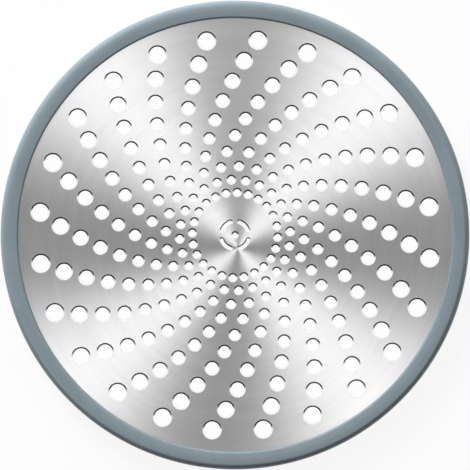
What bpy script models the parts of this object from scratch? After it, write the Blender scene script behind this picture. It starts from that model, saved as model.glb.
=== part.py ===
"""Shower drain hair catcher: a punched steel strainer plate gripped by a moulded silicone rim.

It lies on a shower floor over the drain. Water falls through the holes and hair stays on top.
Lengths are in metres, angles in radians, +Z is up, and the origin is on the floor under the
middle of the disc.
"""

import math

import bmesh
import bpy
from mathutils import Vector

# Clearance kept between the plate and the silicone all round
CLEARANCE = 0.0003

# Silicone rim
OUTER_DIAMETER = 0.145
EDGE_WALL = 0.0026          # silicone outside the groove that holds the plate
GRIP_DEPTH = 0.0025         # how far the lip reaches in over the plate's edge
LIP_THICKNESS = 0.0007      # from the top of the groove to the top of the rim
SHELF_REACH = 0.0028        # how much further in than the lip the foot supports the plate
UNDER_PLATE_HEIGHT = 0.0043  # from the floor to the plate's underside
CROWN_SLOPE = math.radians(4.5)
CROWN_RADIUS = 0.012
OUTER_ROUNDING = 0.0018
LIP_ROUNDING = 0.0003
SMALL_ROUNDING = 0.00025
FOOT_ROUNDING = 0.0005
FOOT_TAPER = 0.0005         # how much narrower the foot is at the floor
GRIP_GROOVES = 2
GRIP_GROOVE_WIDTH = 0.0009
GRIP_GROOVE_DEPTH = 0.0005
RIM_SEGMENTS = 64

# Strainer plate
PLATE_THICKNESS = 0.0008
PLATE_SEGMENTS = 96
HOLE_BORDER = 0.0007        # plain metal between the outer holes and the foot below
HUB_DIAMETER = 0.0235       # plain middle inside the innermost ring of holes

# Drain holes: arms that curve out from the hub, one hole of each arm in every ring
OUTER_HOLE_DIAMETER = 0.0060
INNER_HOLE_DIAMETER = 0.0029
HOLE_GROWTH = 1.1           # 1 grows the holes evenly outwards, more keeps the middle ones small
OUTER_RING_WEB = 0.0006     # a ring's step inwards is its hole and this much more, at the border
INNER_RING_WEB = 0.0010     # and at the hub
ARM_WEB = 0.00055           # least metal between neighbours in the innermost ring
ARM_LEAN = math.radians(29.2)
FIRST_ARM = math.radians(8.3)
LEAST_HOLE_SIDES = 8
HOLE_SIDE = 0.0016          # length of a facet round a hole

# Hub openings
HUB_SLOTS = 4
HUB_SLOT_RADIUS = 0.0043
HUB_SLOT_WIDTH = 0.0015
HUB_SLOT_SPAN = math.radians(52.0)
HUB_HOLE_DIAMETER = 0.0024
SLOT_ARC_STEPS = 3
SLOT_END_STEPS = 4

# Sizes that follow
OUTER_RADIUS = OUTER_DIAMETER / 2
PLATE_RADIUS = OUTER_RADIUS - EDGE_WALL - CLEARANCE
LIP_RADIUS = PLATE_RADIUS - GRIP_DEPTH
FOOT_RADIUS = LIP_RADIUS - SHELF_REACH
SHELF_LEVEL = UNDER_PLATE_HEIGHT - CLEARANCE
GROOVE_TOP = UNDER_PLATE_HEIGHT + PLATE_THICKNESS + CLEARANCE
RIM_HEIGHT = GROOVE_TOP + LIP_THICKNESS
OUTER_RING_RADIUS = FOOT_RADIUS - HOLE_BORDER - OUTER_HOLE_DIAMETER / 2
INNER_RING_RADIUS = HUB_DIAMETER / 2 + INNER_HOLE_DIAMETER / 2

STEEL_COLOUR = (0.70, 0.70, 0.71, 1.0)
SILICONE_COLOUR = (0.195, 0.246, 0.279, 1.0)
SMOOTHING_ANGLE = math.radians(50.0)


def clear_scene():
    """Remove every object of the open scene."""
    for item in list(bpy.data.objects):
        bpy.data.objects.remove(item, do_unlink=True)


def make_material(name, colour, metallic, roughness):
    """Return a Principled material."""
    material = bpy.data.materials.new(name)
    material.use_nodes = True
    shader = material.node_tree.nodes["Principled BSDF"]
    shader.inputs["Base Color"].default_value = colour
    shader.inputs["Metallic"].default_value = metallic
    shader.inputs["Roughness"].default_value = roughness
    return material


def add_part(name, bm, material, parent, location):
    """Turn a bmesh into a smooth-shaded object under its parent."""
    bmesh.ops.recalc_face_normals(bm, faces=bm.faces[:])
    mesh = bpy.data.meshes.new(name)
    bm.to_mesh(mesh)
    bm.free()
    mesh.materials.append(material)
    mesh.shade_smooth()
    mesh.set_sharp_from_angle(angle=SMOOTHING_ANGLE)
    part = bpy.data.objects.new(name, mesh)
    bpy.context.scene.collection.objects.link(part)
    part.parent = parent
    part.location = location
    return part


def polar(radius, angle):
    """Return the point at this radius and angle in the plane of the disc."""
    return Vector((radius * math.cos(angle), radius * math.sin(angle), 0.0))


def rounded_corner(before, corner, after, rounding, steps):
    """Return the arc that rounds a corner, cut down where a side is too short for it."""
    back = (before - corner).normalized()
    ahead = (after - corner).normalized()
    half_angle = back.angle(ahead) / 2
    shorter_side = min((before - corner).length, (after - corner).length)
    setback = min(rounding / math.tan(half_angle), 0.49 * shorter_side)
    radius = setback * math.tan(half_angle)
    centre = corner + (back + ahead).normalized() * radius / math.sin(half_angle)
    first = (corner + back * setback - centre).normalized()
    last = (corner + ahead * setback - centre).normalized()
    return [centre + radius * first.slerp(last, step / steps) for step in range(steps + 1)]


def rounded_outline(corners):
    """Return the points of a closed outline from (radius, height, rounding, steps) corners."""
    places = [Vector((radius, height)) for radius, height, _, _ in corners]
    points = []
    for index, (_, _, rounding, steps) in enumerate(corners):
        if rounding == 0:
            points.append(places[index])
            continue
        before = places[index - 1]
        after = places[(index + 1) % len(places)]
        points += rounded_corner(before, places[index], after, rounding, steps)
    return points


def grip_groove_corners(inner, outer):
    """Return the corners of the shallow rings cut in the foot's underside, from the inside out."""
    land = (outer - inner - GRIP_GROOVES * GRIP_GROOVE_WIDTH) / (GRIP_GROOVES + 1)
    corners = []
    for number in range(GRIP_GROOVES):
        start = inner + land + number * (land + GRIP_GROOVE_WIDTH)
        end = start + GRIP_GROOVE_WIDTH
        corners += [(start, 0.0), (start, GRIP_GROOVE_DEPTH), (end, GRIP_GROOVE_DEPTH), (end, 0.0)]
    return [(radius, height, 0, 0) for radius, height in corners]


def rim_outline():
    """Return the rim's cross-section: foot, groove for the plate's edge, lip and crowned top."""
    crown_middle = (LIP_RADIUS + OUTER_RADIUS) / 2
    crown_peak = RIM_HEIGHT + CROWN_RADIUS * (1 / math.cos(CROWN_SLOPE) - 1)
    crown_edge = crown_peak - (OUTER_RADIUS - crown_middle) * math.tan(CROWN_SLOPE)
    foot_inner = FOOT_RADIUS + FOOT_TAPER
    groove_wall = PLATE_RADIUS + CLEARANCE
    corners = [(foot_inner, 0.0, FOOT_ROUNDING, 2)]
    corners += grip_groove_corners(foot_inner, OUTER_RADIUS)
    corners += [
        (OUTER_RADIUS, 0.0, FOOT_ROUNDING, 2),
        (OUTER_RADIUS, crown_edge, OUTER_ROUNDING, 5),
        (crown_middle, crown_peak, CROWN_RADIUS, 4),
        (LIP_RADIUS, crown_edge, LIP_ROUNDING, 3),
        (LIP_RADIUS, GROOVE_TOP, SMALL_ROUNDING, 1),
        (groove_wall, GROOVE_TOP, 0, 0),
        (groove_wall, SHELF_LEVEL, 0, 0),
        (FOOT_RADIUS, SHELF_LEVEL, SMALL_ROUNDING, 1),
    ]
    return rounded_outline(corners)


def build_rim(parent):
    """Revolve the rim's cross-section into the silicone ring."""
    bm = bmesh.new()
    loop = [bm.verts.new((point.x, 0.0, point.y)) for point in rim_outline()]
    edges = [bm.edges.new((vert, loop[index - 1])) for index, vert in enumerate(loop)]
    bmesh.ops.spin(
        bm,
        geom=loop + edges,
        cent=(0.0, 0.0, 0.0),
        axis=(0.0, 0.0, 1.0),
        angle=math.tau,
        steps=RIM_SEGMENTS,
        use_merge=True,
    )
    silicone = make_material("silicone", SILICONE_COLOUR, 0.0, 0.5)
    return add_part("silicone_rim", bm, silicone, parent, (0.0, 0.0, 0.0))


def ring_radii():
    """Return the radii of the rings of holes, from the border in.

    The steps between rings run evenly from the outermost to the innermost. As many as fit are
    used, and they are stretched a little to fill the space.
    """
    outer_step = OUTER_HOLE_DIAMETER + OUTER_RING_WEB
    inner_step = INNER_HOLE_DIAMETER + INNER_RING_WEB
    space = OUTER_RING_RADIUS - INNER_RING_RADIUS
    count = math.floor(space / ((outer_step + inner_step) / 2))
    stretch = space / (count * (outer_step + inner_step) / 2)
    radii = [OUTER_RING_RADIUS]
    for number in range(count):
        share = number / max(count - 1, 1)
        radii.append(radii[-1] - stretch * (outer_step + share * (inner_step - outer_step)))
    return radii


def hole_diameter(radius):
    """Return the diameter of the holes in the ring of this radius: larger further out."""
    share = (radius - INNER_RING_RADIUS) / (OUTER_RING_RADIUS - INNER_RING_RADIUS)
    growth = max(share, 0.0) ** HOLE_GROWTH
    return INNER_HOLE_DIAMETER + growth * (OUTER_HOLE_DIAMETER - INNER_HOLE_DIAMETER)


def hole_outlines():
    """Return the outline of every drain hole.

    Each arm is an equiangular spiral: it leans from the radius by the same angle all the way,
    so it turns by tan(lean) for each factor e of the radius.
    """
    arms = math.floor(math.tau * INNER_RING_RADIUS / (INNER_HOLE_DIAMETER + ARM_WEB))
    outlines = []
    for radius in ring_radii():
        turned = FIRST_ARM + math.tan(ARM_LEAN) * math.log(OUTER_RING_RADIUS / radius)
        diameter = hole_diameter(radius)
        sides = max(LEAST_HOLE_SIDES, 2 * round(math.pi * diameter / HOLE_SIDE / 2))
        for arm in range(arms):
            angle = turned + math.tau * arm / arms
            centre = polar(radius, angle)
            outlines.append([
                centre + polar(diameter / 2, angle + math.tau * side / sides)
                for side in range(sides)
            ])
    return outlines


def slot_outline(middle_angle):
    """Return the outline of one hub slot: a short arc with round ends."""
    half_width = HUB_SLOT_WIDTH / 2
    start = middle_angle - HUB_SLOT_SPAN / 2
    points = []
    for step in range(SLOT_ARC_STEPS):
        angle = start + HUB_SLOT_SPAN * step / SLOT_ARC_STEPS
        points.append(polar(HUB_SLOT_RADIUS + half_width, angle))
    for step in range(SLOT_END_STEPS):
        end = polar(HUB_SLOT_RADIUS, start + HUB_SLOT_SPAN)
        points.append(end + polar(half_width, start + HUB_SLOT_SPAN + math.pi * step / SLOT_END_STEPS))
    for step in range(SLOT_ARC_STEPS):
        angle = start + HUB_SLOT_SPAN * (1 - step / SLOT_ARC_STEPS)
        points.append(polar(HUB_SLOT_RADIUS - half_width, angle))
    for step in range(SLOT_END_STEPS):
        end = polar(HUB_SLOT_RADIUS, start)
        points.append(end + polar(half_width, start + math.pi * (1 + step / SLOT_END_STEPS)))
    return points


def hub_outlines():
    """Return the outlines of the openings in the hub: a small hole in a ring of curved slots."""
    sides = LEAST_HOLE_SIDES
    hole = [polar(HUB_HOLE_DIAMETER / 2, math.tau * side / sides) for side in range(sides)]
    slots = [slot_outline(math.tau * (number + 0.5) / HUB_SLOTS) for number in range(HUB_SLOTS)]
    return [hole] + slots


def plate_outlines():
    """Return every outline of the plate: its edge and all that is punched out of it."""
    sides = PLATE_SEGMENTS
    edge = [polar(PLATE_RADIUS, math.tau * side / sides) for side in range(sides)]
    return [edge] + hole_outlines() + hub_outlines()


def build_plate(parent):
    """Fill between the plate's outlines and extrude the sheet to its thickness."""
    bm = bmesh.new()
    for outline in plate_outlines():
        loop = [bm.verts.new(point) for point in outline]
        for index, vert in enumerate(loop):
            bm.edges.new((vert, loop[index - 1]))
    bmesh.ops.triangle_fill(bm, edges=bm.edges[:], use_beauty=True, normal=(0.0, 0.0, 1.0))
    sheet = bmesh.ops.extrude_face_region(bm, geom=bm.faces[:])
    top = [item for item in sheet["geom"] if isinstance(item, bmesh.types.BMVert)]
    bmesh.ops.translate(bm, verts=top, vec=(0.0, 0.0, PLATE_THICKNESS))
    steel = make_material("brushed_steel", STEEL_COLOUR, 1.0, 0.32)
    return add_part("strainer_plate", bm, steel, parent, (0.0, 0.0, UNDER_PLATE_HEIGHT))


def build_hair_catcher():
    """Build both pieces under one empty at the origin."""
    clear_scene()
    hair_catcher = bpy.data.objects.new("drain_hair_catcher", None)
    bpy.context.scene.collection.objects.link(hair_catcher)
    build_rim(hair_catcher)
    build_plate(hair_catcher)


if __name__ == "__main__":
    build_hair_catcher()
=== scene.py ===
"""Looks of a shower drain hair catcher: a punched, brushed steel plate in a moulded silicone rim.

Lengths are in metres and angles in radians, unless a name says otherwise. The disc lies on the
floor with its middle over the origin, and +Y runs towards the top of the picture.
"""

import math

import bpy
import numpy as np
from bpy.props import FloatProperty, FloatVectorProperty, IntProperty, PointerProperty
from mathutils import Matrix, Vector


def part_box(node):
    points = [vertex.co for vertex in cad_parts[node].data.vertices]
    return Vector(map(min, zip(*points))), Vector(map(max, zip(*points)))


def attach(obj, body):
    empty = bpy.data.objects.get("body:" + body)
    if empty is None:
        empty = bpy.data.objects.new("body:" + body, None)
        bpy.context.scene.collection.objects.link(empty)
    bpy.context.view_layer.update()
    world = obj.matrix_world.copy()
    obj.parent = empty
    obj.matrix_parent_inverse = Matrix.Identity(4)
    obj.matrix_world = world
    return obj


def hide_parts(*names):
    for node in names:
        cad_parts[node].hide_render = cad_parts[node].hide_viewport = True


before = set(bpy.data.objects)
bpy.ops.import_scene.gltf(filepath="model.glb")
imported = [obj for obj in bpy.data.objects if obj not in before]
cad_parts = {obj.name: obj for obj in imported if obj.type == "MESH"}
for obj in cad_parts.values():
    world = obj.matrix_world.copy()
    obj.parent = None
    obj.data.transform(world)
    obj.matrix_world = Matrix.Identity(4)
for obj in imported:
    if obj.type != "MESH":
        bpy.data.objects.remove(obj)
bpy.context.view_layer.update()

bl_info = {
    "name": "Drain Hair Catcher",
    "version": (1, 0, 0),
    "blender": (4, 5, 0),
    "location": "View3D > Sidebar > Hair Catcher",
    "description": "Builds a punched steel drain plate in a moulded silicone rim, and its studio",
    "category": "Add Mesh",
}

PLATE_LOW, PLATE_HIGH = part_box("strainer_plate")
RIM_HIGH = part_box("silicone_rim")[1]
BODY = "root"
WELD_DISTANCE = 1e-8
PHOTO_WIDTH = 470.0         # pixels
DISC_WIDTH_IN_PHOTO = 468.7  # pixels


# Shader maths

MIX_A, MIX_B, MIX_RESULT = 6, 7, 2  # a Mix node's sockets for colours
MID_NOISE = (0.3, 0.7)      # where a noise leaves its dark end and reaches its light end
WIDE_NOISE = (0.2, 0.8)


class Wire:
    """A shader value that takes part in plain arithmetic: each operation adds its Math node."""

    def __init__(self, tree, socket=None):
        self.tree = tree
        self.socket = socket

    def node(self, kind, settings=None, sockets=None, output=0):
        """Add a node, set its settings and then its sockets, and return the wire of one output."""
        made = self.tree.nodes.new(kind)
        for name, value in (settings or {}).items():
            setattr(made, name, value)
        for name, value in (sockets or {}).items():
            if isinstance(value, Wire):
                self.tree.links.new(value.socket, made.inputs[name])
            else:
                made.inputs[name].default_value = value
        return Wire(self.tree, made.outputs[output] if made.outputs else None)

    def beside(self, output):
        """Return the wire of another output of the same node."""
        return Wire(self.tree, self.socket.node.outputs[output])

    def math(self, operation, *values):
        """Add one Math node over these values."""
        return self.node("ShaderNodeMath", {"operation": operation}, dict(enumerate(values)))

    def vector(self, operation, *values, output=0):
        """Add one Vector Math node over these values."""
        return self.node(
            "ShaderNodeVectorMath", {"operation": operation}, dict(enumerate(values)), output
        )

    def noise(self, scale, detail):
        """Return noise over this vector."""
        return self.node(
            "ShaderNodeTexNoise", {}, {"Vector": self, "Scale": scale, "Detail": detail}
        )

    def ramp(self, low, high, at_low=0.0, at_high=1.0):
        """Return a smooth step of this value from at_low at low to at_high at high."""
        return self.node(
            "ShaderNodeMapRange",
            {"interpolation_type": "SMOOTHSTEP"},
            {"Value": self, "From Min": low, "From Max": high, "To Min": at_low, "To Max": at_high},
        )

    def blend(self, first, second):
        """Return the colour that runs from first to second as this value goes from 0 to 1."""
        return self.node(
            "ShaderNodeMix",
            {"data_type": "RGBA"},
            {"Factor": self, MIX_A: first, MIX_B: second},
            MIX_RESULT,
        )

    def mix(self, first, second):
        """Return the shader that runs from first to second as this value goes from 0 to 1."""
        return self.node("ShaderNodeMixShader", {}, {"Fac": self, 1: first, 2: second})

    def bump(self, strength, depth, normal=None):
        """Return the normal of a relief of this height, over the face or over a given normal."""
        sockets = {"Strength": strength, "Distance": depth, "Height": self}
        if normal is not None:
            sockets["Normal"] = normal
        return self.node("ShaderNodeBump", {}, sockets)

    def __add__(self, other):
        return self.math("ADD", self, other)

    def __radd__(self, other):
        return self.math("ADD", other, self)

    def __sub__(self, other):
        return self.math("SUBTRACT", self, other)

    def __rsub__(self, other):
        return self.math("SUBTRACT", other, self)

    def __mul__(self, other):
        return self.math("MULTIPLY", self, other)

    def __rmul__(self, other):
        return self.math("MULTIPLY", other, self)


def new_material(name):
    """Return a material with an empty node tree, and a wire that starts it."""
    material = bpy.data.materials.new(name)
    material.use_nodes = True
    material.node_tree.nodes.clear()
    return material, Wire(material.node_tree)


def shade(colour, share):
    """Return a colour times a share, opaque and with no part above 1."""
    return tuple(min(1.0, share * value) for value in colour[:3]) + (1.0,)


# Mesh grids

SMOOTH_BELOW = math.radians(30.0)


def grid_faces(shape, closed):
    """Return the four-sided faces of a stack of grids, as point numbers.

    shape is (grids, points round, points along). Face (g, i, j) joins the points (i, j),
    (i + 1, j), (i + 1, j + 1) and (i, j + 1) of grid g, and a closed grid joins up round i.
    """
    grids, around, along = shape
    number = np.arange(grids * around * along).reshape(shape)
    here = number if closed else number[:, :-1]
    there = np.roll(number, -1, axis=1) if closed else number[:, 1:]
    corners = (here[:, :, :-1], there[:, :, :-1], there[:, :, 1:], here[:, :, 1:])
    return np.stack(corners, axis=-1).reshape(-1, 4)


def on_circle(radius, angle, height):
    """Return points as (radius cos angle, radius sin angle, height), broadcast together."""
    x, y, z = np.broadcast_arrays(radius * np.cos(angle), radius * np.sin(angle), height)
    return np.stack((x, y, z), axis=-1)


def weld(patches):
    """Join patches of (points, faces, material numbers) and merge the points that coincide."""
    points = np.concatenate([part[0].reshape(-1, 3) for part in patches])
    starts = np.cumsum([0] + [part[0].size // 3 for part in patches[:-1]])
    faces = np.concatenate([part[1] + start for part, start in zip(patches, starts)])
    finish = np.concatenate([np.broadcast_to(part[2], len(part[1])) for part in patches])
    keys = np.round(points / WELD_DISTANCE).astype(np.int64)
    _, first, number = np.unique(keys, axis=0, return_index=True, return_inverse=True)
    return points[first], number.reshape(-1)[faces], finish


def add_piece(name, points, faces, finish, materials, smooth_below=SMOOTH_BELOW):
    """Make a piece from points and four-sided faces, shaded smooth below an angle."""
    mesh = bpy.data.meshes.new(name)
    mesh.vertices.add(len(points))
    mesh.vertices.foreach_set("co", points.astype(np.float32).ravel())
    mesh.loops.add(faces.size)
    mesh.loops.foreach_set("vertex_index", faces.astype(np.int32).ravel())
    mesh.polygons.add(len(faces))
    mesh.polygons.foreach_set("loop_start", np.arange(0, faces.size, 4, dtype=np.int32))
    for material in materials:
        mesh.materials.append(material)
    mesh.polygons.foreach_set("material_index", finish.astype(np.int32))
    mesh.update(calc_edges=True)
    mesh.shade_smooth()
    mesh.set_sharp_from_angle(angle=smooth_below)
    piece = bpy.data.objects.new(name, mesh)
    bpy.context.scene.collection.objects.link(piece)
    return piece


# Strainer plate

class PlateSettings(bpy.types.PropertyGroup):
    """Sizes and colours of the punched steel plate."""

    radius: FloatProperty(
        name="Radius", description="Radius of the steel sheet", default=PLATE_HIGH.x, unit="LENGTH"
    )
    top: FloatProperty(
        name="Top", description="Height of the sheet's upper face", default=PLATE_HIGH.z,
        unit="LENGTH"
    )
    bottom: FloatProperty(
        name="Bottom", description="Height of the sheet's underside", default=PLATE_LOW.z,
        unit="LENGTH"
    )
    arms: IntProperty(name="Arms", description="Number of curved arms of holes", default=24, min=3)
    outer_ring: FloatProperty(
        name="Outer ring", description="Radius of the outermost ring of holes", default=0.0606,
        unit="LENGTH"
    )
    inner_ring: FloatProperty(
        name="Inner ring", description="Radius of the innermost ring of holes", default=0.0132,
        unit="LENGTH"
    )
    outer_hole: FloatProperty(
        name="Outer hole", description="Diameter of the outermost holes", default=0.0060,
        unit="LENGTH"
    )
    inner_hole: FloatProperty(
        name="Inner hole", description="Diameter of the innermost holes", default=0.0029,
        unit="LENGTH"
    )
    outer_step: FloatProperty(
        name="Outer step", description="Distance between the two outermost rings", default=0.0066,
        unit="LENGTH"
    )
    inner_step: FloatProperty(
        name="Inner step", description="Distance between the two innermost rings", default=0.0039,
        unit="LENGTH"
    )
    growth: FloatProperty(
        name="Growth", description="Power by which the holes grow outwards", default=1.1
    )
    lean: FloatProperty(
        name="Lean", description="Angle between an arm and the radius", default=math.radians(29.2),
        subtype="ANGLE"
    )
    first_arm: FloatProperty(
        name="First arm", description="Direction of the first outer hole",
        default=math.radians(8.3), subtype="ANGLE"
    )
    hub_slots: IntProperty(
        name="Hub slots", description="Number of arc slots in the hub", default=4, min=1
    )
    slot_radius: FloatProperty(
        name="Slot radius", description="Radius of the middle line of the hub slots",
        default=0.0043, unit="LENGTH"
    )
    slot_width: FloatProperty(
        name="Slot width", description="Width of a hub slot", default=0.0015, unit="LENGTH"
    )
    slot_span: FloatProperty(
        name="Slot span", description="Angle between the middles of a slot's round ends",
        default=math.radians(52.0), subtype="ANGLE"
    )
    hub_hole: FloatProperty(
        name="Hub hole", description="Diameter of the hole in the middle", default=0.0024,
        unit="LENGTH"
    )
    rolled_width: FloatProperty(
        name="Rolled width", description="Width of the rolled edge of a hole", default=0.00046,
        unit="LENGTH"
    )
    brushing_x: FloatProperty(
        name="Brushing X", description="Middle of the circular brushing, to the right",
        default=0.0010, unit="LENGTH"
    )
    brushing_y: FloatProperty(
        name="Brushing Y", description="Middle of the circular brushing, upwards", default=-0.0040,
        unit="LENGTH"
    )
    scratch_lean: FloatProperty(
        name="Scratch lean", description="Slope of the scratches' long flanks, outwards",
        default=math.radians(5.2), subtype="ANGLE"
    )
    colour: FloatVectorProperty(
        name="Colour", description="Colour of the steel", size=4, default=(0.70, 0.70, 0.71, 1.0),
        subtype="COLOR", min=0.0, max=1.0
    )


CELL_ARC_SIDES = 10         # faces along a cell's arc, above and below its hole
CELL_EDGE_SIDES = 6         # faces along a cell's straight side
SLOT_EDGE_SIDES = 20
ROLL_STEPS = 4
ROLL_START = math.radians(33.0)  # slope of a rolled edge where it leaves the flat face
ROLL_END = math.radians(37.0)
ROLL_LIMIT = 0.25           # most of a punched width that its rolled edge may have on each side
HOLDING_WIDTH = 0.00002     # flat ring beside an edge that keeps the flat face's shading flat
BURR = 0.00006              # small bevel where the punch leaves the sheet
STRIP_SHARE = 0.2           # of the metal between two rings of holes, kept as a plain strip
PLAIN_BORDER = 0.0006       # metal that a cell keeps beyond its holes at the border
PLAIN_HUB = 0.00045         # and at the hub
PLATE_EDGE_ROUNDING = 0.0002
CENTRE_CELL = 0.0022        # radius out to which the metal belongs to the middle hole
SLOT_CELL = 0.0063          # radius out to which the metal belongs to the hub slots
SLOT_STRAIGHT_SHARE = 0.75  # of the faces along a slot's side, those on its straight part
EDGE_START = 2              # faces of an edge's profile before the roll: the metal and a flat ring
EDGE_FACES = ROLL_STEPS + 2  # and from there on, those of the roll, the wall and the bevel

# Noises of the brushing, as (turns round a circle, lines for each metre outwards, detail)
SCRATCHES = (7.0, 5200.0, 3.0)
BANDS = (1.5, 420.0, 2.0)
STREAKS = (34.0, 6.0, 2.0)
BANDS_IN_TONE = 0.5         # the scratches make up the rest
STREAKS_IN_RELIEF = 0.75    # here too
BRUSHED_SHADES = (0.94, 1.03)  # darkest and lightest, as shares of the colour
BRUSHED_RELIEF = (0.35, 0.00001)  # strength and depth
BRUSHED_ROUGHNESS = (0.326, 0.368)
BRUSHED_STRETCH = 0.808     # how far the gloss is drawn out across the scratches
MARKS = (2600.0, 2.0)       # scale and detail of the punch's marks
PUNCHED_SHADES = (0.90, 1.0)
PUNCHED_RELIEF = (0.1, 0.000002)
PUNCHED_ROUGHNESS = (0.10, 0.16)


def ring_radii(plate):
    """Return the radii of the rings of holes.

    The steps run evenly from the outer step to the inner one, and all are stretched by one
    factor so that they fill the space between the outermost and the innermost ring.
    """
    space = plate.outer_ring - plate.inner_ring
    count = math.floor(space / ((plate.outer_step + plate.inner_step) / 2))
    steps = np.linspace(plate.outer_step, plate.inner_step, count)
    fall = np.concatenate(([0.0], np.cumsum(steps))) / steps.sum()
    return plate.outer_ring - space * fall


def edge_profile(plate, punched):
    """Return the (distance from the hole's middle, height) pairs of a punched edge.

    From the flat upper face, the rolled edge is an arc whose slope grows from ROLL_START to
    ROLL_END over its width. Then come the wall, a small bevel and the underside. punched is
    half the punched width, as an array, and the profile runs along a new last axis.
    """
    slope = np.linspace(ROLL_START, ROLL_END, ROLL_STEPS + 1)
    spread = math.sin(ROLL_END) - math.sin(ROLL_START)
    across = (math.sin(ROLL_END) - np.sin(slope)) / spread
    down = (math.cos(ROLL_START) - np.cos(slope)) / spread
    punched = np.asarray(punched, float)[..., None]
    roll = np.minimum(plate.rolled_width, 2 * ROLL_LIMIT * punched)
    wall = punched - roll
    rolled = wall + roll * across
    flat = np.full_like(punched, plate.top)
    under = np.full_like(punched, plate.bottom)
    foot = wall + BURR
    distance = np.concatenate(
        (rolled[..., :1] + HOLDING_WIDTH, rolled, wall, foot, foot + HOLDING_WIDTH), axis=-1
    )
    height = np.concatenate((flat, plate.top - roll * down, under + BURR, under, under), axis=-1)
    return distance, height


def edge_finish(count, grids, around):
    """Return the material of each face round a hole: 0 on the flat faces, 1 on the punched edge."""
    along = np.zeros(count, int)
    along[EDGE_START:EDGE_START + EDGE_FACES] = 1
    return np.broadcast_to(along, (grids, around, count)).reshape(-1)


def cell_loop(arc_sides, edge_sides):
    """Return a cell's boundary as (across, inward) pairs, across -1 to 1 and inward 0 to 1.

    It runs along the outer arc, in along one side, back along the inner arc and out again.
    """
    arc = np.arange(arc_sides) / arc_sides
    edge = np.arange(edge_sides) / edge_sides
    across = np.concatenate((2 * arc - 1, np.ones(edge_sides), 1 - 2 * arc, -np.ones(edge_sides)))
    inward = np.concatenate((np.zeros(arc_sides), edge, np.ones(arc_sides), 1 - edge))
    return across, inward


def hole_radii(plate, radii):
    """Return the radius of the holes in each ring: it grows with the ring's to the power growth."""
    share = (radii - plate.inner_ring) / (plate.outer_ring - plate.inner_ring)
    growth = np.clip(share, 0.0, None) ** plate.growth
    return (plate.inner_hole + growth * (plate.outer_hole - plate.inner_hole)) / 2


def cell_bounds(radii, hole):
    """Return the outer and inner radius of each ring's cells, with a plain strip between rings."""
    upper = radii[:-1] - hole[:-1]
    lower = radii[1:] + hole[1:]
    middle = (upper + lower) / 2
    half_strip = STRIP_SHARE * (upper - lower) / 2
    outer = np.concatenate(([radii[0] + hole[0] + PLAIN_BORDER], middle - half_strip))
    inner = np.concatenate((middle + half_strip, [radii[-1] - hole[-1] - PLAIN_HUB]))
    return outer, inner


def join_cell(plate, boundary, ring):
    """Return the patch from a cell's boundary to its opening: above, down the edge and below."""
    under = boundary * (1, 1, 0) + (0, 0, plate.bottom)
    points = np.concatenate((boundary[..., None, :], ring, under[..., None, :]), axis=-2)
    around, along = points.shape[-3:-1]
    shape = (points.size // (3 * around * along), around, along)
    return points, grid_faces(shape, True), edge_finish(along - 1, shape[0], around)


def drain_hole_cells(plate, radii, phases, outer, inner):
    """Return the patch of all the metal round the drain holes.

    Each hole has a cell: the piece of its ring that reaches half way to its neighbours. Point i
    of the cell's boundary is joined to point i of the hole's circle, straight along the face.
    """
    distance, height = edge_profile(plate, hole_radii(plate, radii))
    half = math.pi / plate.arms
    middle = phases[:, None, None] + 2 * half * np.arange(plate.arms)[:, None]
    across, inward = cell_loop(CELL_ARC_SIDES, CELL_EDGE_SIDES)
    loop_radius = (outer[:, None] + inward * (inner - outer)[:, None])[:, None]
    boundary = on_circle(loop_radius, middle + half * across, plate.top)
    turn = (np.arange(len(across)) - CELL_ARC_SIDES / 2) / len(across) * math.tau
    centre = on_circle(radii[:, None, None, None], middle[..., None], 0.0)
    ring = on_circle(distance[:, None, None], (middle + turn)[..., None], height[:, None, None])
    return join_cell(plate, boundary, ring + centre)


def hub_slot_cells(plate, count):
    """Return the patch of the metal round the hub slots.

    A slot is worked out straight and then bent. Straight, it is a line along u grown by a
    distance: the point (u, v) = (s reach + distance sin lean, distance cos lean), where s runs
    from -1 to 1 along the line and the lean turns by half a circle at each end. Bent, it goes
    to the radius R + v and the angle u / R, where R is the radius of the slot's middle line.
    """
    across, inward = cell_loop(count // plate.hub_slots, SLOT_EDGE_SIDES)
    half = math.pi / plate.hub_slots
    middle = half * (1 + 2 * np.arange(plate.hub_slots)[:, None])
    loop_radius = SLOT_CELL + inward * (CENTRE_CELL - SLOT_CELL)
    boundary = on_circle(loop_radius, middle + half * across, plate.top)
    beyond = np.clip((np.abs(across) - SLOT_STRAIGHT_SHARE) / (1 - SLOT_STRAIGHT_SHARE), 0.0, 1.0)
    arc_lean = math.pi / 4 * beyond * np.sign(across)
    end_lean = np.sign(across) * math.pi * (0.25 + 0.5 * inward)
    side_lean = np.where(inward == 0, arc_lean, math.pi - arc_lean)
    lean = np.where(np.abs(across) == 1, end_lean, side_lean)[:, None]
    along = np.clip(across / SLOT_STRAIGHT_SHARE, -1.0, 1.0)[:, None]
    reach = plate.slot_radius * plate.slot_span / 2
    distance, height = edge_profile(plate, plate.slot_width / 2)
    u = along * reach + distance * np.sin(lean)
    v = distance * np.cos(lean)
    ring = on_circle(plate.slot_radius + v, middle[..., None] + u / plate.slot_radius, height)
    return join_cell(plate, boundary, ring)


def ring_strip(height, outer, inner, outer_phase, inner_phase, count, below):
    """Return the patch of flat metal between two circles of points at one height.

    The points of the inner circle are numbered from the one nearest to the outer circle's
    first point, so that the faces lean by half a step at most.
    """
    step = math.tau / count
    turn = np.arange(count) * step
    shift = round((inner_phase - outer_phase) / step) * step
    outer_points = on_circle(outer, outer_phase + turn, height)
    inner_points = on_circle(inner, inner_phase - shift + turn, height)
    rows = (inner_points, outer_points) if below else (outer_points, inner_points)
    return np.stack(rows, axis=1), grid_faces((1, count, 2), True), 0


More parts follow.
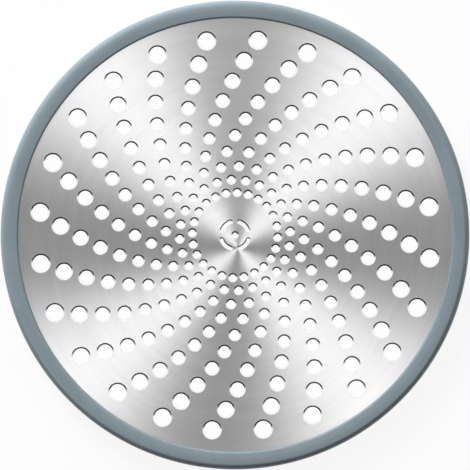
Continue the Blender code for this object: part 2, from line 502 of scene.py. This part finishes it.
def revolved(radius, height, phase, count, finish):
    """Return the patch of an open (radius, height) profile carried round the Z axis."""
    turn = phase + math.tau * np.arange(count) / count
    points = on_circle(np.asarray(radius), turn[:, None], np.asarray(height))
    return points, grid_faces((1, count, len(radius)), True), finish


def plate_border(plate, inner, phase, count):
    """Return the patch of the plate's border: out along the underside, round and back on top."""
    slope = np.linspace(0.0, math.pi / 2, ROLL_STEPS + 1)
    swing = PLATE_EDGE_ROUNDING * np.sin(slope)
    rise = PLATE_EDGE_ROUNDING * (1 - np.cos(slope))
    rounded = plate.radius - PLATE_EDGE_ROUNDING + swing
    held = rounded[0] - HOLDING_WIDTH
    radius = np.concatenate(([inner, held], rounded, rounded[::-1], [held, inner]))
    height = np.concatenate(
        ([plate.bottom] * 2, plate.bottom + rise, plate.top - rise[::-1], [plate.top] * 2)
    )
    return revolved(radius, height, phase, count, 0)


def middle_hole(plate, count):
    """Return the patch of the metal round the hole in the middle."""
    distance, height = edge_profile(plate, plate.hub_hole / 2)
    radius = np.concatenate(([CENTRE_CELL], distance, [CENTRE_CELL]))
    height = np.concatenate(([plate.top], height, [plate.bottom]))
    return revolved(radius, height, 0.0, count, edge_finish(len(radius) - 1, 1, count))


def plate_patches(plate):
    """Return every patch of the plate, from its border to the hole in its middle."""
    radii = ring_radii(plate)
    outer, inner = cell_bounds(radii, hole_radii(plate, radii))
    count = plate.arms * CELL_ARC_SIDES
    phases = plate.first_arm + math.tan(plate.lean) * np.log(plate.outer_ring / radii)
    starts = phases - math.pi / plate.arms
    patches = [
        plate_border(plate, outer[0], starts[0], count),
        drain_hole_cells(plate, radii, phases, outer, inner),
        hub_slot_cells(plate, count),
        middle_hole(plate, count),
    ]
    upper = zip(inner, np.append(outer[1:], SLOT_CELL), starts, np.append(starts[1:], 0.0))
    for from_radius, to_radius, from_phase, to_phase in upper:
        for height, below in ((plate.top, False), (plate.bottom, True)):
            patches.append(
                ring_strip(height, from_radius, to_radius, from_phase, to_phase, count, below)
            )
    return patches


def brushed_steel(plate):
    """Return the steel of the faces: brushed in circles, with streaks and fine scratches.

    Its gloss is drawn out along the radius, across the scratches, so a lamp shows in it as a
    fan of light from the middle of the brushing. The scratches are saw-toothed: their long
    flanks lean outwards, and the shading's normal with them.
    """
    material, start = new_material("brushed_steel")
    place = start.node("ShaderNodeTexCoord", output="Object")
    middle = (plate.brushing_x, plate.brushing_y, 0.0)
    from_middle = place.vector("SUBTRACT", place, middle)
    flat = from_middle.vector("MULTIPLY", from_middle, (1.0, 1.0, 0.0))
    radius = flat.vector("LENGTH", flat, output="Value")
    direction = flat.vector("NORMALIZE", flat)
    x = direction.node("ShaderNodeSeparateXYZ", {}, {"Vector": direction}, "X")
    y = x.beside("Y")

    def brushed_noise(turns, lines, detail):
        """Return noise that changes turns times round a circle and lines times each metre out."""
        sockets = {"X": x * turns, "Y": y * turns, "Z": radius * lines}
        return start.node("ShaderNodeCombineXYZ", {}, sockets).noise(1.0, detail)

    scratches, bands, streaks = (brushed_noise(*kind) for kind in (SCRATCHES, BANDS, STREAKS))
    tone = bands * BANDS_IN_TONE + scratches * (1.0 - BANDS_IN_TONE)
    relief = scratches * (1.0 - STREAKS_IN_RELIEF) + streaks * STREAKS_IN_RELIEF
    slant = math.tan(plate.scratch_lean)
    face = start.node("ShaderNodeNewGeometry", output="Normal")
    outwards = direction.vector("MULTIPLY", direction, (slant, slant, 0.0))
    leaning = face.vector("ADD", face, outwards)
    dark, light = (shade(plate.colour, share) for share in BRUSHED_SHADES)
    shader = start.node(
        "ShaderNodeBsdfPrincipled",
        {},
        {
            "Base Color": tone.ramp(*MID_NOISE).blend(dark, light),
            "Metallic": 1.0,
            "Roughness": scratches.ramp(*WIDE_NOISE, *BRUSHED_ROUGHNESS),
            "Anisotropic": BRUSHED_STRETCH,
            "Tangent": from_middle,
            "Normal": relief.bump(*BRUSHED_RELIEF, leaning.vector("NORMALIZE", leaning)),
        },
    )
    start.node("ShaderNodeOutputMaterial", {}, {"Surface": shader})
    return material


def punched_steel(plate):
    """Return the steel of the punched edges: burnished by the punch, with faint marks along it."""
    material, start = new_material("punched_steel")
    marks = start.node("ShaderNodeTexCoord", output="Object").noise(*MARKS)
    dark, light = (shade(plate.colour, share) for share in PUNCHED_SHADES)
    shader = start.node(
        "ShaderNodeBsdfPrincipled",
        {},
        {
            "Base Color": marks.ramp(*MID_NOISE).blend(dark, light),
            "Metallic": 1.0,
            "Roughness": marks.ramp(*WIDE_NOISE, *PUNCHED_ROUGHNESS),
            "Normal": marks.bump(*PUNCHED_RELIEF),
        },
    )
    start.node("ShaderNodeOutputMaterial", {}, {"Surface": shader})
    return material


class HAIRCATCHER_OT_strainer_plate(bpy.types.Operator):
    """Build the punched steel plate and its brushed finish"""

    bl_idname = "haircatcher.strainer_plate"
    bl_label = "Strainer Plate"

    def execute(self, context):
        plate = context.scene.haircatcher_plate
        points, faces, finish = weld(plate_patches(plate))
        materials = (brushed_steel(plate), punched_steel(plate))
        piece = add_piece("punched_plate", points, faces, finish, materials)
        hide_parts("strainer_plate")
        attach(piece, BODY)
        return {"FINISHED"}


# Silicone rim

class RimSettings(bpy.types.PropertyGroup):
    """Sizes and colours of the moulded silicone rim."""

    radius: FloatProperty(
        name="Radius", description="Outer radius of the rim", default=RIM_HIGH.x, unit="LENGTH"
    )
    height: FloatProperty(
        name="Height", description="Height of the rim's crown above the floor", default=RIM_HIGH.z,
        unit="LENGTH"
    )
    lip: FloatProperty(
        name="Lip", description="How far the lip reaches in over the plate", default=0.0025,
        unit="LENGTH"
    )
    shelf: FloatProperty(
        name="Shelf", description="How much further in the foot supports the plate", default=0.0028,
        unit="LENGTH"
    )
    foot_taper: FloatProperty(
        name="Foot taper", description="How much narrower the foot is at the floor", default=0.0005,
        unit="LENGTH"
    )
    crown_slope: FloatProperty(
        name="Crown slope", description="Slope of the top towards both edges",
        default=math.radians(4.5), subtype="ANGLE"
    )
    crown_rounding: FloatProperty(
        name="Crown rounding", description="Radius of the top between its slopes", default=0.012,
        unit="LENGTH"
    )
    outer_rounding: FloatProperty(
        name="Outer rounding", description="Radius of the outer shoulder", default=0.0018,
        unit="LENGTH"
    )
    lip_rounding: FloatProperty(
        name="Lip rounding", description="Radius of the lip's inner shoulder", default=0.0006,
        unit="LENGTH"
    )
    draft: FloatProperty(
        name="Draft", description="How far the outer wall falls back from the parting line",
        default=0.00006, unit="LENGTH"
    )
    grooves: IntProperty(
        name="Grooves", description="Number of grip grooves in the foot", default=2, min=1
    )
    groove_width: FloatProperty(
        name="Groove width", description="Width of a grip groove", default=0.0009, unit="LENGTH"
    )
    groove_depth: FloatProperty(
        name="Groove depth", description="Depth of a grip groove", default=0.0005, unit="LENGTH"
    )
    colour: FloatVectorProperty(
        name="Colour", description="Colour of the silicone", size=4,
        default=(0.195, 0.246, 0.279, 1.0), subtype="COLOR", min=0.0, max=1.0
    )


RIM_SEGMENTS = 288
ROUNDING_STEPS = 8
FOOT_ROUNDING = 0.0005
SMALL_ROUNDING = 0.00022
GROOVE_ROUNDING = 0.00012
FINE_ROUNDING = 0.00005
SEAT_GAP = 0.00002          # between the plate and the silicone that grips it
PARTING_SHARE = 0.45        # height of the mould's parting line, as a share of the rim's
MOST_OF_SIDE = 0.98         # share of a side that its two arcs may take up together
RIM_SMOOTH_BELOW = math.radians(50.0)
GRAIN = (5200.0, 3.0)       # scale and detail of the moulded grain
CLOUD = (90.0, 3.0)         # and of the slow changes in tone
CLOUD_IN_TONE = 0.7         # the grain makes up the rest
SILICONE_SHADES = (0.95, 1.05)
SILICONE_RELIEF = (0.3, 0.00002)
SILICONE_ROUGHNESS = (0.34, 0.41)
SILICONE_GLOSS = 0.6
SHEEN = 0.22
SHEEN_ROUGHNESS = 0.3


def rounded_outline(corners):
    """Return a closed outline of (radius, height, rounding) corners with every corner an arc.

    The arc of a corner touches both sides at the distance rounding / tan(half the corner's
    angle). Where a side is too short for its two arcs, both are cut down in proportion. The
    centre of an arc lies on the line that halves the angle, and its points turn evenly from one
    touching point to the other.
    """
    corners = np.asarray(corners)
    place, rounding = corners[:, :2], corners[:, 2]
    back = np.roll(place, 1, axis=0) - place
    ahead = np.roll(place, -1, axis=0) - place
    back_length = np.linalg.norm(back, axis=1)
    ahead_length = np.linalg.norm(ahead, axis=1)
    back = back / back_length[:, None]
    ahead = ahead / ahead_length[:, None]
    half_angle = np.arccos(np.clip((back * ahead).sum(axis=1), -1.0, 1.0)) / 2
    wanted = rounding / np.tan(half_angle)
    back_room = back_length * wanted / (wanted + np.roll(wanted, 1))
    ahead_room = ahead_length * wanted / (wanted + np.roll(wanted, -1))
    setback = np.minimum(wanted, MOST_OF_SIDE * np.minimum(back_room, ahead_room))
    radius = setback * np.tan(half_angle)
    halving = back + ahead
    halving /= np.linalg.norm(halving, axis=1)[:, None]
    centre = place + halving * (radius / np.sin(half_angle))[:, None]
    first = place + back * setback[:, None] - centre
    last = place + ahead * setback[:, None] - centre
    start = np.arctan2(first[:, 1], first[:, 0])
    swing = (np.arctan2(last[:, 1], last[:, 0]) - start + math.pi) % math.tau - math.pi
    angle = start[:, None] + swing[:, None] * np.linspace(0.0, 1.0, ROUNDING_STEPS + 1)
    arc = radius[:, None, None] * np.stack((np.cos(angle), np.sin(angle)), axis=-1)
    return (centre[:, None] + arc).reshape(-1, 2)


def rim_corners(rim, plate):
    """Return the corners of the rim's cross-section, from the foot round to the shelf."""
    lip_radius = plate.radius - rim.lip
    foot = lip_radius - rim.shelf
    foot_floor = foot + rim.foot_taper
    crown = (lip_radius + rim.radius) / 2
    peak = rim.height + rim.crown_rounding * (1 / math.cos(rim.crown_slope) - 1)
    shoulder = peak - (rim.radius - crown) * math.tan(rim.crown_slope)
    parting = PARTING_SHARE * rim.height
    land = (rim.radius - foot_floor - rim.grooves * rim.groove_width) / (rim.grooves + 1)
    corners = [(foot_floor, 0.0, FOOT_ROUNDING)]
    for number in range(rim.grooves):
        start = foot_floor + land + number * (land + rim.groove_width)
        end = start + rim.groove_width
        corners += [
            (start, 0.0, GROOVE_ROUNDING),
            (start, rim.groove_depth, GROOVE_ROUNDING),
            (end, rim.groove_depth, GROOVE_ROUNDING),
            (end, 0.0, GROOVE_ROUNDING),
        ]
    seat_wall = plate.radius + SEAT_GAP
    corners += [
        (rim.radius - rim.draft, 0.0, FOOT_ROUNDING),
        (rim.radius, parting, FINE_ROUNDING),
        (rim.radius - rim.draft, shoulder, rim.outer_rounding),
        (crown, peak, rim.crown_rounding),
        (lip_radius, shoulder, rim.lip_rounding),
        (lip_radius, plate.top + SEAT_GAP, SMALL_ROUNDING),
        (seat_wall, plate.top + SEAT_GAP, FINE_ROUNDING),
        (seat_wall, plate.bottom - SEAT_GAP, FINE_ROUNDING),
        (foot, plate.bottom - SEAT_GAP, SMALL_ROUNDING),
    ]
    return corners


def moulded_silicone(rim):
    """Return the satin silicone: an even blue grey with a fine moulded grain."""
    material, start = new_material("moulded_silicone")
    place = start.node("ShaderNodeTexCoord", output="Object")
    grain, cloud = place.noise(*GRAIN), place.noise(*CLOUD)
    tone = cloud * CLOUD_IN_TONE + grain * (1.0 - CLOUD_IN_TONE)
    dark, light = (shade(rim.colour, share) for share in SILICONE_SHADES)
    shader = start.node(
        "ShaderNodeBsdfPrincipled",
        {},
        {
            "Base Color": tone.ramp(*MID_NOISE).blend(dark, light),
            "Roughness": cloud.ramp(*MID_NOISE, *SILICONE_ROUGHNESS),
            "Specular IOR Level": SILICONE_GLOSS,
            "Sheen Weight": SHEEN,
            "Sheen Roughness": SHEEN_ROUGHNESS,
            "Normal": grain.bump(*SILICONE_RELIEF),
        },
    )
    start.node("ShaderNodeOutputMaterial", {}, {"Surface": shader})
    return material


class HAIRCATCHER_OT_silicone_rim(bpy.types.Operator):
    """Build the moulded silicone rim and its satin finish"""

    bl_idname = "haircatcher.silicone_rim"
    bl_label = "Silicone Rim"

    def execute(self, context):
        rim = context.scene.haircatcher_rim
        outline = rounded_outline(rim_corners(rim, context.scene.haircatcher_plate))
        closed = np.concatenate((outline, outline[:1]))
        points, faces, finish = weld([revolved(closed[:, 0], closed[:, 1], 0.0, RIM_SEGMENTS, 0)])
        materials = (moulded_silicone(rim),)
        piece = add_piece("moulded_rim", points, faces, finish, materials, RIM_SMOOTH_BELOW)
        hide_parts("silicone_rim")
        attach(piece, BODY)
        return {"FINISHED"}


# Studio

class StudioSettings(bpy.types.PropertyGroup):
    """The floor, the light and the camera."""

    camera_height: FloatProperty(
        name="Camera height", description="Height of the camera above the floor", default=2.0,
        unit="LENGTH"
    )
    floor_half: FloatProperty(
        name="Floor", description="Half the width of the floor", default=4.0, unit="LENGTH"
    )
    shadow_share: FloatProperty(
        name="Shadow", description="How much of the floor's white comes from the lamps",
        default=0.1, subtype="FACTOR", min=0.0, max=1.0
    )
    light: FloatProperty(
        name="Light", description="Brightness of the lamps, as a share of their set powers",
        default=1.0, min=0.0
    )


SENSOR_WIDTH = 36.0         # millimetres
VIEW_LIMIT = 20.0
LAMP_DISTANCE = 1.6
LAMP_SIZE = 0.56
LAMPS = (                   # name, degrees from +X, degrees from overhead, watts, shows in gloss
    ("right_lamp", 49.6, 24.9, 3.0, True),
    ("left_lamp", 129.2, 26.8, 3.05, True),
    ("right_fill", 218.7, 27.1, 3.5, True),
    ("left_fill", 310.7, 22.5, 3.0, True),
    ("window", 116.0, 76.0, 21.0, False),
    ("wall", 122.0, 62.0, 21.5, False),
)
WHITE = (1.0, 1.0, 1.0, 1.0)
FLOOR_COLOUR = (0.9, 0.9, 0.9, 1.0)
DISC_SHADE = (0.064, 0.069)  # radii between which the floor comes out from under the disc
SHARE_UNDER_DISC = 0.02     # of the floor's white that comes from the lamps there

# Ramps over a direction's y, z (its height) or ahead (how far its compass direction is towards
# +Y), as (from, to) or (from, to, strength at from, strength at to)
ROOM = (-0.02, 0.45, 0.12, 0.38)  # over y
RING_FOOT = (0.14, 0.24)    # over z
RING_TOP = (0.56, 0.44)     # over z
RING = (-0.46, -0.02, 0.02, 1.36)  # over ahead
HORIZON_TOP = (0.14, 0.06)  # over z
HORIZON = (-0.3, 0.5, 0.16, 0.5)  # over ahead


def add_lamp(name, direction, tilt, power, in_gloss):
    """Add a soft round lamp that looks at the origin and shows in gloss or lights matt surfaces."""
    data = bpy.data.lights.new(name, "AREA")
    data.shape = "DISK"
    data.size = LAMP_SIZE
    data.energy = power
    lamp = bpy.data.objects.new(name, data)
    out = math.sin(tilt)
    away = Vector((math.cos(direction) * out, math.sin(direction) * out, math.cos(tilt)))
    lamp.location = away * LAMP_DISTANCE
    lamp.rotation_euler = away.to_track_quat("Z", "Y").to_euler()
    lamp.visible_camera = False
    lamp.visible_glossy = in_gloss
    lamp.visible_diffuse = not in_gloss
    bpy.context.scene.collection.objects.link(lamp)


def floor_material(studio):
    """Return the floor: white to the camera and in reflections, with the object's shadow on it."""
    material, start = new_material("studio_floor")
    camera = start.node("ShaderNodeLightPath", output="Is Camera Ray")
    direct = camera.math("MAXIMUM", camera, camera.beside("Is Glossy Ray"))
    place = start.node("ShaderNodeTexCoord", output="Object")
    out = place.vector("LENGTH", place, output="Value")
    share = out.ramp(*DISC_SHADE, SHARE_UNDER_DISC, studio.shadow_share)
    plain = start.node("ShaderNodeBsdfDiffuse", {}, {"Color": FLOOR_COLOUR})
    white = start.node("ShaderNodeEmission", {}, {"Color": WHITE, "Strength": 1.0})
    clear = start.node("ShaderNodeBsdfTransparent")
    top = direct.mix(plain, share.mix(white, plain))
    below = start.node("ShaderNodeNewGeometry", output="Backfacing")
    start.node("ShaderNodeOutputMaterial", {}, {"Surface": below.mix(top, clear)})
    return material


def studio_world():
    """Make the world: white behind everything, and for light a soft room.

    The room grows lighter towards +Y. Above the horizon, a ring of light goes round the object,
    bright towards +Y and dark towards -Y. At the horizon there is more light again, also
    stronger towards +Y.
    """
    world = bpy.data.worlds.new("studio")
    world.use_nodes = True
    world.node_tree.nodes.clear()
    start = Wire(world.node_tree)
    ray = start.node("ShaderNodeTexCoord", output="Generated")
    level = ray.vector("NORMALIZE", ray.vector("MULTIPLY", ray, (1.0, 1.0, 0.0)))
    ahead = ray.node("ShaderNodeSeparateXYZ", {}, {"Vector": level}, "Y")
    y = ray.node("ShaderNodeSeparateXYZ", {}, {"Vector": ray}, "Y")
    z = y.beside("Z")
    ring = z.ramp(*RING_FOOT) * z.ramp(*RING_TOP)
    room = y.ramp(*ROOM) * (1.0 - ring) + ring * ahead.ramp(*RING)
    room = room + z.ramp(*HORIZON_TOP) * ahead.ramp(*HORIZON)
    camera = start.node("ShaderNodeLightPath", output="Is Camera Ray")
    strength = camera * (1.0 - room) + room
    light = start.node("ShaderNodeBackground", {}, {"Color": WHITE, "Strength": strength})
    start.node("ShaderNodeOutputWorld", {}, {"Surface": light})
    bpy.context.scene.world = world


class HAIRCATCHER_OT_studio(bpy.types.Operator):
    """Build the floor, the light and the camera"""

    bl_idname = "haircatcher.studio"
    bl_label = "Studio"

    def execute(self, context):
        scene = context.scene
        studio = scene.haircatcher_studio
        corners = np.array(((-1, -1, 0), (1, -1, 0), (1, 1, 0), (-1, 1, 0))) * studio.floor_half
        face = np.array(((0, 1, 2, 3),))
        floor = add_piece("studio_floor", corners, face, np.zeros(1), (floor_material(studio),))
        studio_world()
        for name, direction, tilt, power, in_gloss in LAMPS:
            power *= studio.light
            add_lamp(name, math.radians(direction), math.radians(tilt), power, in_gloss)
        camera = bpy.data.objects.new("camera", bpy.data.cameras.new("camera"))
        scene.collection.objects.link(camera)
        rim = scene.haircatcher_rim
        away = studio.camera_height - PARTING_SHARE * rim.height
        seen_width = 2 * rim.radius * PHOTO_WIDTH / DISC_WIDTH_IN_PHOTO
        camera.data.sensor_width = SENSOR_WIDTH
        camera.data.lens = SENSOR_WIDTH * away / seen_width
        camera.data.clip_end = VIEW_LIMIT
        camera.location = (0.0, 0.0, studio.camera_height)
        scene.camera = camera
        scene.view_settings.view_transform = "Standard"
        return {"FINISHED"}


class HAIRCATCHER_PT_sidebar(bpy.types.Panel):
    """Lists the pieces of the hair catcher with their sizes and colours"""

    bl_idname = "HAIRCATCHER_PT_sidebar"
    bl_label = "Drain Hair Catcher"
    bl_space_type = "VIEW_3D"
    bl_region_type = "UI"
    bl_category = "Hair Catcher"

    def draw(self, context):
        for operator, settings in (
            ("haircatcher.strainer_plate", context.scene.haircatcher_plate),
            ("haircatcher.silicone_rim", context.scene.haircatcher_rim),
            ("haircatcher.studio", context.scene.haircatcher_studio),
        ):
            box = self.layout.box()
            box.operator(operator)
            for name in settings.bl_rna.properties.keys():
                if name not in ("rna_type", "name"):
                    box.prop(settings, name)


CLASSES = (
    PlateSettings,
    RimSettings,
    StudioSettings,
    HAIRCATCHER_OT_strainer_plate,
    HAIRCATCHER_OT_silicone_rim,
    HAIRCATCHER_OT_studio,
    HAIRCATCHER_PT_sidebar,
)
SETTINGS = {
    "haircatcher_plate": PlateSettings,
    "haircatcher_rim": RimSettings,
    "haircatcher_studio": StudioSettings,
}


def register():
    """Register the classes and give the scene its settings."""
    for item in CLASSES:
        bpy.utils.register_class(item)
    for name, settings in SETTINGS.items():
        setattr(bpy.types.Scene, name, PointerProperty(type=settings))


def unregister():
    """Take the settings and the classes out again."""
    for name in SETTINGS:
        delattr(bpy.types.Scene, name)
    for item in reversed(CLASSES):
        bpy.utils.unregister_class(item)


def main():
    """Build the pieces and the studio."""
    register()
    bpy.ops.haircatcher.strainer_plate()
    bpy.ops.haircatcher.silicone_rim()
    bpy.ops.haircatcher.studio()


if __name__ == "__main__":
    main()
